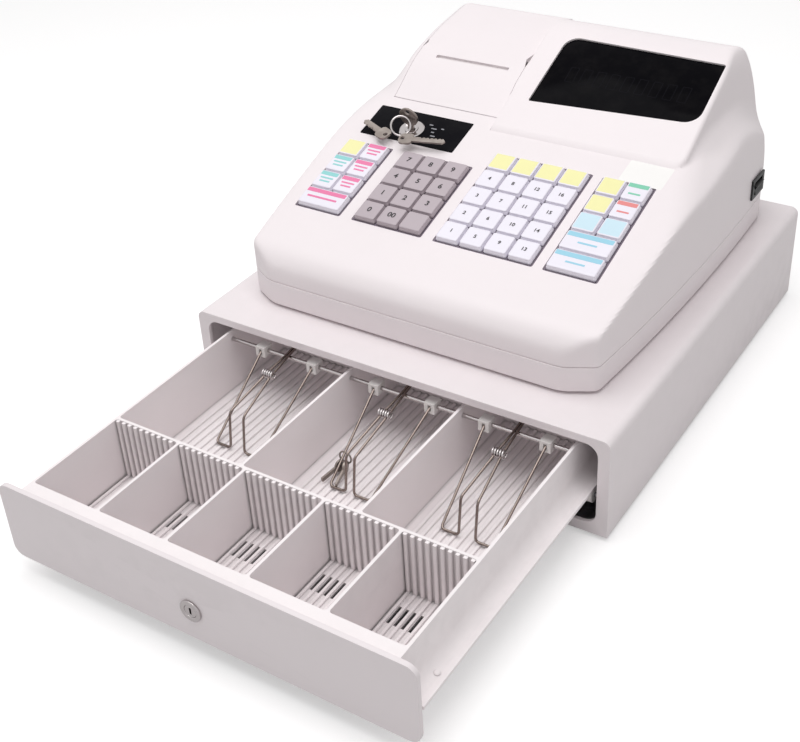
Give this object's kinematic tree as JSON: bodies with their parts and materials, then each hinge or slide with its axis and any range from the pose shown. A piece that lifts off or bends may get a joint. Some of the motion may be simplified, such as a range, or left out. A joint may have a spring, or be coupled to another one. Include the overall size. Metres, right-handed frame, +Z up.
{
  "type": "ticket register",
  "caption": "White electronic cash register with display, printer and key fields on a cash drawer cabinet whose open drawer holds coin and bill compartments.",
  "frame": {"origin": "centre of the cabinet's footprint on the table that its feet stand on", "axes": "+X to the right as the user faces it, +Y to the back, so the drawer opens towards -Y, and +Z up"},
  "size_m": [0.33, 0.5595, 0.2184],
  "materials": {
    "case_white": "satin",
    "cabinet_white": "satin",
    "steel": "satin",
    "chrome": "polished",
    "rubber": "matte",
    "tray_grey": "satin",
    "nylon": "satin",
    "coil": "satin",
    "black_plastic": "satin",
    "dark_grey": "satin",
    "paper": "matte",
    "black_gloss": "gloss",
    "board": "satin",
    "key_white": "satin",
    "key_grey": "satin",
    "key_yellow": "satin",
    "key_pink": "satin",
    "key_teal": "satin",
    "key_blue": "satin"
  },
  "bodies": {
    "cabinet": {"cabinet_shell": "cabinet_white", "cabinet_base": "steel", "rubber_feet": "rubber", "foot_screws": "steel", "slide_rails": "steel", "latch_bracket": "steel", "solenoid": "coil", "lower_case": "case_white", "upper_case": "case_white", "register_feet": "rubber", "printer_frame": "steel", "print_head": "black_plastic", "display_window": "black_gloss", "circuit_boards": "board", "mode_panel": "black_gloss", "mode_lock": "chrome", "key_frame": "tray_grey", "power_switch": "black_plastic"},
    "drawer": {"drawer_tray": "tray_grey", "tray_flanges": "tray_grey", "coin_floor": "tray_grey", "drawer_front": "cabinet_white", "drawer_striker": "steel", "lock_barrel": "chrome", "clip_axle": "steel"},
    "lock": {"lock_plug": "chrome", "lock_cam": "steel"},
    "clip_left": {"bill_clip_left": "chrome", "clip_blocks_left": "nylon"},
    "clip_middle": {"bill_clip_middle": "chrome", "clip_blocks_middle": "nylon", "drawer_keys": "chrome"},
    "clip_right": {"bill_clip_right": "chrome", "clip_blocks_right": "nylon"},
    "rollers": {"front_rollers": "nylon"},
    "latch": {"latch_hook": "chrome"},
    "plunger": {"solenoid_plunger": "chrome"},
    "printer_cover": {"printer_cover": "case_white"},
    "platen": {"platen_roller": "rubber"},
    "paper": {"paper_roll": "paper"},
    "mode": {"mode_plug": "chrome", "mode_key": "chrome", "mode_key_ring": "chrome"},
    "rocker": {"switch_rocker": "dark_grey"},
    "left_keys_outer_body": {"left_keys_outer": "key_teal"},
    "left_keys_inner_body": {"left_keys_inner": "key_pink"},
    "left_wide_key_body": {"left_wide_key": "key_pink"},
    "number_keys_789_body": {"number_keys_789": "key_grey"},
    "number_keys_456_body": {"number_keys_456": "key_grey"},
    "number_keys_123_body": {"number_keys_123": "key_grey"},
    "number_keys_0_body": {"number_keys_0": "key_grey"},
    "department_keys_1_body": {"department_keys_1": "key_white"},
    "department_keys_2_body": {"department_keys_2": "key_white"},
    "department_keys_3_body": {"department_keys_3": "key_white"},
    "department_keys_4_body": {"department_keys_4": "key_white"},
    "department_keys_5_body": {"department_keys_5": "key_yellow"},
    "right_keys_outer_body": {"right_keys_outer": "key_teal"},
    "right_keys_inner_body": {"right_keys_inner": "key_yellow"},
    "right_wide_key_front_body": {"right_wide_key_front": "key_blue"},
    "right_wide_key_rear_body": {"right_wide_key_rear": "key_blue"}
  },
  "joints": [
    {"name": "drawer_slide", "type": "slide", "parent": "cabinet", "child": "drawer", "axis": [0, 1, 0], "range_m": [0, 0.208]},
    {"name": "roller_spin", "type": "hinge", "parent": "cabinet", "child": "rollers", "pos_m": [0, -0.1645, 0.0272], "axis": [1, 0, 0], "range_deg": [-2000, 0]},
    {"name": "lock_turn", "type": "hinge", "parent": "drawer", "child": "lock", "pos_m": [-0.002, -0.383, 0.037], "axis": [0, 1, 0], "range_deg": [0, 90]},
    {"name": "clip_left_lift", "type": "hinge", "parent": "drawer", "child": "clip_left", "pos_m": [-0.0865, -0.171, 0.061], "axis": [1, 0, 0], "range_deg": [-45, 0], "stiffness_Nm_per_rad": 0.02, "springref_deg": 17.19},
    {"name": "clip_middle_lift", "type": "hinge", "parent": "drawer", "child": "clip_middle", "pos_m": [0.011, -0.171, 0.061], "axis": [1, 0, 0], "range_deg": [-45, 0], "stiffness_Nm_per_rad": 0.02, "springref_deg": 17.19},
    {"name": "clip_right_lift", "type": "hinge", "parent": "drawer", "child": "clip_right", "pos_m": [0.0975, -0.171, 0.061], "axis": [1, 0, 0], "range_deg": [-45, 0], "stiffness_Nm_per_rad": 0.02, "springref_deg": 17.19},
    {"name": "latch_turn", "type": "hinge", "parent": "cabinet", "child": "latch", "pos_m": [0, 0.15, 0.026], "axis": [1, 0, 0], "range_deg": [0, 10]},
    {"name": "plunger_slide", "type": "slide", "parent": "cabinet", "child": "plunger", "axis": [0, 1, 0], "range_m": [-0.0001, 0.0023]},
    {"name": "printer_cover_hinge", "type": "hinge", "parent": "cabinet", "child": "printer_cover", "pos_m": [-0.077, 0.1501, 0.19965], "axis": [-1, 0, 0], "range_deg": [0, 75]},
    {"name": "platen_spin", "type": "hinge", "parent": "cabinet", "child": "platen", "pos_m": [-0.077, 0.069, 0.179], "axis": [1, 0, 0], "continuous": true},
    {"name": "paper_spin", "type": "hinge", "parent": "cabinet", "child": "paper", "pos_m": [-0.077, 0.11, 0.168], "axis": [1, 0, 0], "continuous": true},
    {"name": "mode_turn", "type": "hinge", "parent": "cabinet", "child": "mode", "pos_m": [-0.089, 0.00624, 0.16426], "axis": [0, -0.2807, 0.9598], "range_deg": [-45, 90]},
    {"name": "rocker_tilt", "type": "hinge", "parent": "cabinet", "child": "rocker", "pos_m": [0.13743, 0.1265, 0.117], "axis": [0, 1, 0], "range_deg": [-16, 0]},
    {"name": "left_keys_outer_press", "type": "slide", "parent": "cabinet", "child": "left_keys_outer_body", "axis": [0, -0.2807, 0.9598], "range_m": [-0.003, 0], "stiffness_N_per_m": 200, "springref_m": 0.002},
    {"name": "left_keys_inner_press", "type": "slide", "parent": "cabinet", "child": "left_keys_inner_body", "axis": [0, -0.2807, 0.9598], "range_m": [-0.003, 0], "stiffness_N_per_m": 200, "springref_m": 0.002},
    {"name": "left_wide_key_press", "type": "slide", "parent": "cabinet", "child": "left_wide_key_body", "axis": [0, -0.2807, 0.9598], "range_m": [-0.003, 0], "stiffness_N_per_m": 200, "springref_m": 0.002},
    {"name": "number_keys_789_press", "type": "slide", "parent": "cabinet", "child": "number_keys_789_body", "axis": [0, -0.2807, 0.9598], "range_m": [-0.003, 0], "stiffness_N_per_m": 200, "springref_m": 0.002},
    {"name": "number_keys_456_press", "type": "slide", "parent": "cabinet", "child": "number_keys_456_body", "axis": [0, -0.2807, 0.9598], "range_m": [-0.003, 0], "stiffness_N_per_m": 200, "springref_m": 0.002},
    {"name": "number_keys_123_press", "type": "slide", "parent": "cabinet", "child": "number_keys_123_body", "axis": [0, -0.2807, 0.9598], "range_m": [-0.003, 0], "stiffness_N_per_m": 200, "springref_m": 0.002},
    {"name": "number_keys_0_press", "type": "slide", "parent": "cabinet", "child": "number_keys_0_body", "axis": [0, -0.2807, 0.9598], "range_m": [-0.003, 0], "stiffness_N_per_m": 200, "springref_m": 0.002},
    {"name": "department_keys_1_press", "type": "slide", "parent": "cabinet", "child": "department_keys_1_body", "axis": [0, -0.2807, 0.9598], "range_m": [-0.003, 0], "stiffness_N_per_m": 200, "springref_m": 0.002},
    {"name": "department_keys_2_press", "type": "slide", "parent": "cabinet", "child": "department_keys_2_body", "axis": [0, -0.2807, 0.9598], "range_m": [-0.003, 0], "stiffness_N_per_m": 200, "springref_m": 0.002},
    {"name": "department_keys_3_press", "type": "slide", "parent": "cabinet", "child": "department_keys_3_body", "axis": [0, -0.2807, 0.9598], "range_m": [-0.003, 0], "stiffness_N_per_m": 200, "springref_m": 0.002},
    {"name": "department_keys_4_press", "type": "slide", "parent": "cabinet", "child": "department_keys_4_body", "axis": [0, -0.2807, 0.9598], "range_m": [-0.003, 0], "stiffness_N_per_m": 200, "springref_m": 0.002},
    {"name": "department_keys_5_press", "type": "slide", "parent": "cabinet", "child": "department_keys_5_body", "axis": [0, -0.2807, 0.9598], "range_m": [-0.003, 0], "stiffness_N_per_m": 200, "springref_m": 0.002},
    {"name": "right_keys_outer_press", "type": "slide", "parent": "cabinet", "child": "right_keys_outer_body", "axis": [0, -0.2807, 0.9598], "range_m": [-0.003, 0], "stiffness_N_per_m": 200, "springref_m": 0.002},
    {"name": "right_keys_inner_press", "type": "slide", "parent": "cabinet", "child": "right_keys_inner_body", "axis": [0, -0.2807, 0.9598], "range_m": [-0.003, 0], "stiffness_N_per_m": 200, "springref_m": 0.002},
    {"name": "right_wide_key_front_press", "type": "slide", "parent": "cabinet", "child": "right_wide_key_front_body", "axis": [0, -0.2807, 0.9598], "range_m": [-0.003, 0], "stiffness_N_per_m": 200, "springref_m": 0.002},
    {"name": "right_wide_key_rear_press", "type": "slide", "parent": "cabinet", "child": "right_wide_key_rear_body", "axis": [0, -0.2807, 0.9598], "range_m": [-0.003, 0], "stiffness_N_per_m": 200, "springref_m": 0.002}
  ],
  "couplings": [
    {"joint": "roller_spin", "follows": "drawer_slide", "rad_per_m": -166.67},
    {"joint": "plunger_slide", "follows": "latch_turn", "m_per_rad": 0.0125}
  ]
}
